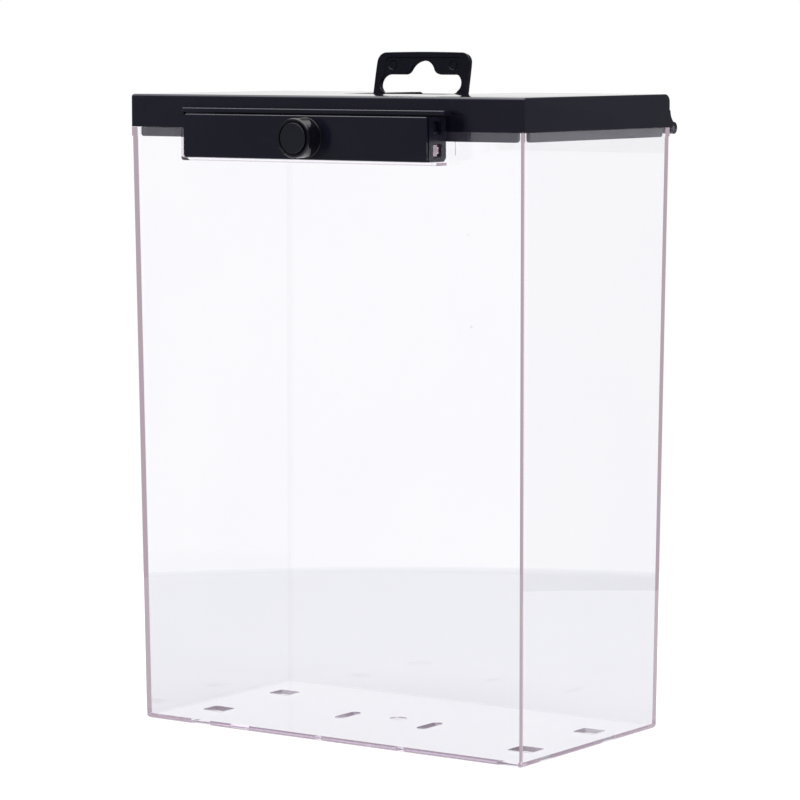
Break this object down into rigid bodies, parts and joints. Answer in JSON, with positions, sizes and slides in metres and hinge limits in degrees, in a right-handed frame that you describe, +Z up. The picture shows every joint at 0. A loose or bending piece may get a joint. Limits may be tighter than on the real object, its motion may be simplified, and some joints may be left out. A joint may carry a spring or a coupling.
{
  "type": "locking display case",
  "caption": "Clear drafted display case with a black hinged lid, a folding hang tab and a sliding lock bar whose round boss hides a magnetic plunger.",
  "frame": {"origin": "centre of the tub's underside, on the surface it stands on", "axes": "+X to the right seen from the front, +Y to the rear, where the hinge is, +Z up"},
  "size_m": [0.1582, 0.1124, 0.228],
  "materials": {
    "clear_plastic": "clear polished moulded plastic, faint mauve at its edges",
    "black_plastic": "satin moulded plastic with a fine grain",
    "gloss_black_plastic": "glossy moulded plastic",
    "bright_steel": "drawn steel wire",
    "plated_steel": "zinc plated",
    "white_plastic": "natural white plastic",
    "alloy_strip": "bright cast ribbon",
    "label_film": "clear laminate film",
    "label_adhesive": "foam adhesive",
    "magnet_strip": "dark semi-hard steel strip"
  },
  "bodies": {
    "case": {"tub": "clear_plastic", "hinge_pin": "bright_steel"},
    "lid": {"lid": "black_plastic", "hang_tab_pin": "bright_steel", "label_adhesive": "label_adhesive", "label_tray": "white_plastic", "label_strips": "alloy_strip", "label_film": "label_film", "label_magnet": "magnet_strip", "label_cover": "black_plastic", "label_cover_screws": "plated_steel"},
    "hang_tab": {"hang_tab": "black_plastic"},
    "lock_bar": {"lock_housing": "black_plastic", "lock_cover": "black_plastic", "lock_screws": "plated_steel", "boss_sleeve": "gloss_black_plastic", "boss_cap": "gloss_black_plastic", "plunger_guide": "white_plastic", "plunger_spring": "bright_steel"},
    "plunger": {"plunger": "bright_steel"}
  },
  "joints": [
    {"name": "lid_hinge", "type": "hinge", "parent": "case", "child": "lid", "pos_m": [0, 0.0472, 0.2026], "axis": [-1, 0, 0], "range_deg": [0, 115]},
    {"name": "hang_tab_fold", "type": "hinge", "parent": "lid", "child": "hang_tab", "pos_m": [0, 0.0126, 0.2125], "axis": [1, 0, 0], "range_deg": [0, 102]},
    {"name": "lock_slide", "type": "slide", "parent": "case", "child": "lock_bar", "axis": [1, 0, 0], "range_m": [0, 0.0065]},
    {"name": "plunger_pull", "type": "slide", "parent": "lock_bar", "child": "plunger", "axis": [0, -1, 0], "range_m": [-0.0012, 0.001], "stiffness_N_per_m": 150, "deforming": ["plunger_spring"]}
  ]
}
